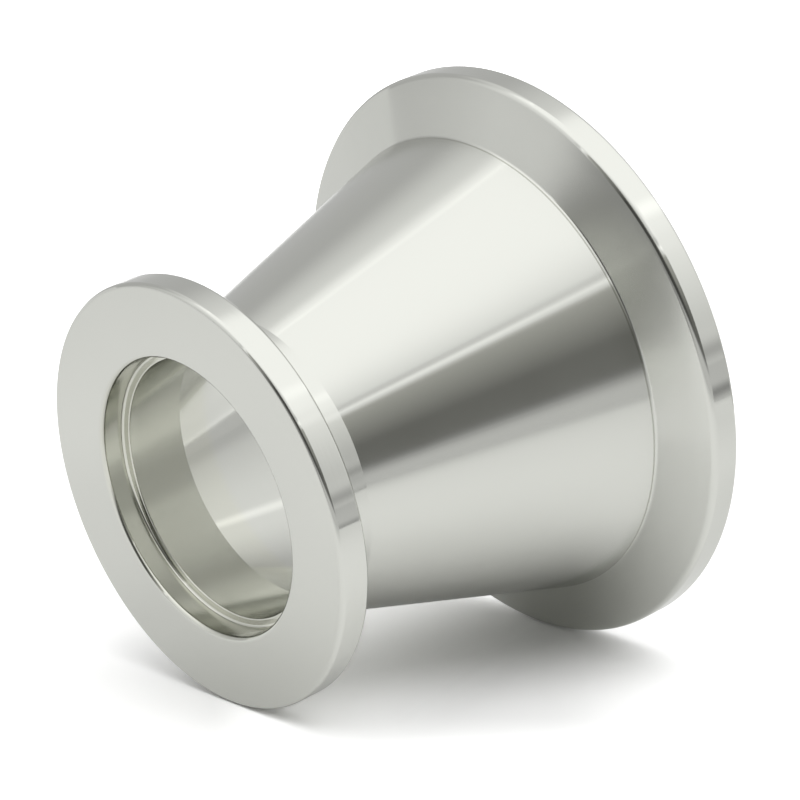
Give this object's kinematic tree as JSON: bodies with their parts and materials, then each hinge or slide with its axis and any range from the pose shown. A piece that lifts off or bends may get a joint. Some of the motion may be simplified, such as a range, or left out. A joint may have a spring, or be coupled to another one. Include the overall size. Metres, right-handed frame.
{
  "type": "conical reducer",
  "caption": "Straight conical vacuum reducer with a clamp flange at each end, each with a flat sealing face, a recess for a centring ring and a tapered back for the clamp.",
  "frame": {"origin": "centre of the large flange's sealing face", "axes": "+Z along the bore axis towards the small flange; the part stands on its large sealing face and is the same all round the axis"},
  "size_m": [0.055, 0.055, 0.04],
  "materials": {
    "steel": "finely turned, with faint marks that run round the axis"
  },
  "bodies": {
    "root": {"reducer_body": "steel"}
  },
  "joints": []
}
